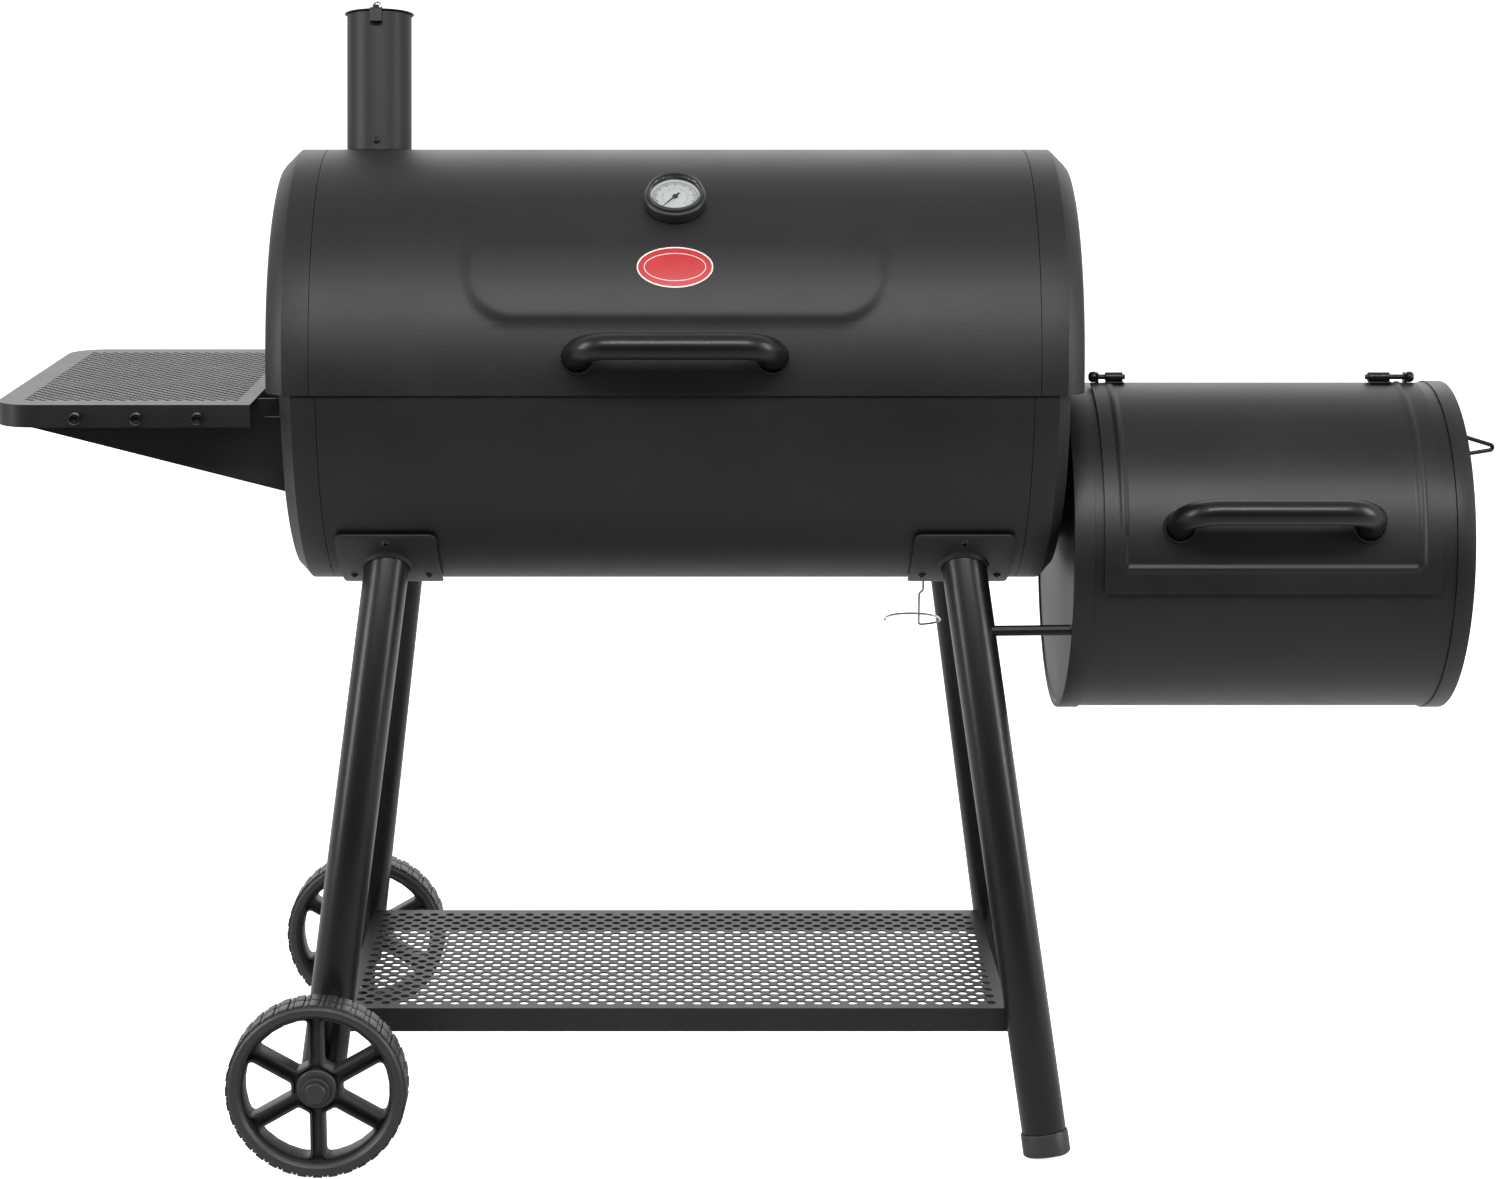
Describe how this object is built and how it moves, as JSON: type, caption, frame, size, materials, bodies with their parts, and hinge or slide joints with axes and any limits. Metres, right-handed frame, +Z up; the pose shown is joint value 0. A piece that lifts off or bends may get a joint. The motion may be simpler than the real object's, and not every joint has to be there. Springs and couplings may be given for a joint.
{
  "type": "barrel charcoal grill",
  "caption": "Horizontal barrel charcoal grill with a hinged lid, side firebox, chimney, side shelf and perforated bottom shelf on a wheeled tube stand.",
  "frame": {"origin": "on the ground, under the middle of the footprint of the whole grill with its lid and door shut", "axes": "+Z up, -Y is the cook's side with the lid handle, +X towards the firebox and -X towards the side shelf; rest pose has lid, firebox door and chimney cap shut and the air damper shut"},
  "size_m": [1.7062, 0.646, 1.2952],
  "materials": {
    "barrel_paint": "matte to satin heat-resistant black powder coat with a fine texture",
    "shelf_paint": "satin black powder coat on folded sheet steel",
    "gloss_paint": "semi-gloss black paint on steel tube",
    "black_plastic": "moulded black plastic with a fine grain",
    "cast_iron": "seasoned cast iron, dark and slightly rough",
    "bright_steel": "zinc-plated steel rod and wire",
    "dial_white": "printed white dial with plain scale marks",
    "gauge_glass": "clear flat gauge glass",
    "red_enamel": "glossy red enamel plate with a pale rim, no lettering"
  },
  "bodies": {
    "stand": {"lower_barrel": "barrel_paint", "lower_end_left": "barrel_paint", "lower_end_right": "barrel_paint", "leg_plate_front_left": "barrel_paint", "leg_plate_front_right": "barrel_paint", "leg_plate_rear_left": "barrel_paint", "leg_plate_rear_right": "barrel_paint", "firebox_shell": "barrel_paint", "firebox_end_left": "barrel_paint", "firebox_end_right": "barrel_paint", "duct_flange": "barrel_paint", "lid_hinge_fixed_left": "barrel_paint", "lid_hinge_fixed_right": "barrel_paint", "bottom_shelf": "shelf_paint", "side_shelf": "shelf_paint", "shelf_bracket_front": "shelf_paint", "shelf_bracket_rear": "shelf_paint", "grate_rail_front": "shelf_paint", "grate_rail_rear": "shelf_paint", "leg_front_left": "gloss_paint", "leg_front_right": "gloss_paint", "leg_rear_left": "gloss_paint", "leg_rear_right": "gloss_paint", "tool_hook_1": "gloss_paint", "tool_hook_2": "gloss_paint", "tool_hook_3": "gloss_paint", "firebox_strut": "gloss_paint", "door_hinge_left": "gloss_paint", "door_hinge_right": "gloss_paint", "foot_cap_front_right": "black_plastic", "foot_cap_rear_right": "black_plastic", "cooking_grate_1": "cast_iron", "cooking_grate_2": "cast_iron", "cooking_grate_3": "cast_iron", "charcoal_grate": "cast_iron", "firebox_grate": "cast_iron", "axle": "bright_steel"},
    "lid": {"lid_shell": "barrel_paint", "lid_end_left": "barrel_paint", "lid_end_right": "barrel_paint", "lid_handle": "gloss_paint", "gauge_housing": "black_plastic", "gauge_dial": "dial_white", "gauge_glass": "gauge_glass", "badge_plate": "red_enamel", "chimney": "barrel_paint", "chimney_cap_pivot": "barrel_paint", "lid_hinge_moving_left": "barrel_paint", "lid_hinge_moving_right": "barrel_paint"},
    "chimney_cap": {"chimney_cap": "barrel_paint"},
    "gauge_needle": {"gauge_needle": "black_plastic"},
    "firebox_door": {"firebox_door": "barrel_paint", "door_handle": "gloss_paint"},
    "damper": {"damper": "barrel_paint", "damper_handle": "gloss_paint"},
    "wheel_front": {"wheel_front": "black_plastic", "hub_cap_front": "black_plastic"},
    "wheel_rear": {"wheel_rear": "black_plastic", "hub_cap_rear": "black_plastic"},
    "grease_hanger": {"grease_hanger": "bright_steel"}
  },
  "joints": [
    {"name": "lid_hinge", "type": "hinge", "parent": "stand", "child": "lid", "pos_m": [-0.10714, 0.26, 0.882], "axis": [-1, 0, 0], "range_deg": [0, 90]},
    {"name": "firebox_door_hinge", "type": "hinge", "parent": "stand", "child": "firebox_door", "pos_m": [0.56286, -0.014, 0.867], "axis": [-1, 0, 0], "range_deg": [0, 100]},
    {"name": "chimney_cap_swing", "type": "hinge", "parent": "lid", "child": "chimney_cap", "pos_m": [-0.45214, 0.03613, 1.28662], "axis": [0, 0.1908, 0.9816], "range_deg": [0, 120]},
    {"name": "gauge_needle_turn", "type": "hinge", "parent": "lid", "child": "gauge_needle", "pos_m": [-0.10714, -0.15045, 1.07766], "axis": [0, 0.6018, -0.7986], "range_deg": [0, 270]},
    {"name": "damper_turn", "type": "hinge", "parent": "stand", "child": "damper", "pos_m": [0.79086, 0, 0.727], "axis": [1, 0, 0], "range_deg": [-45, 45]},
    {"name": "wheel_front_spin", "type": "hinge", "parent": "stand", "child": "wheel_front", "pos_m": [-0.50914, -0.2925, 0.1016], "axis": [0, 1, 0], "continuous": true},
    {"name": "wheel_rear_spin", "type": "hinge", "parent": "stand", "child": "wheel_rear", "pos_m": [-0.50914, 0.2925, 0.1016], "axis": [0, 1, 0], "continuous": true},
    {"name": "grease_hanger_swing", "type": "hinge", "parent": "stand", "child": "grease_hanger", "pos_m": [0.18486, 0, 0.6368], "axis": [1, 0, 0], "range_deg": [-15, 15]}
  ]
}
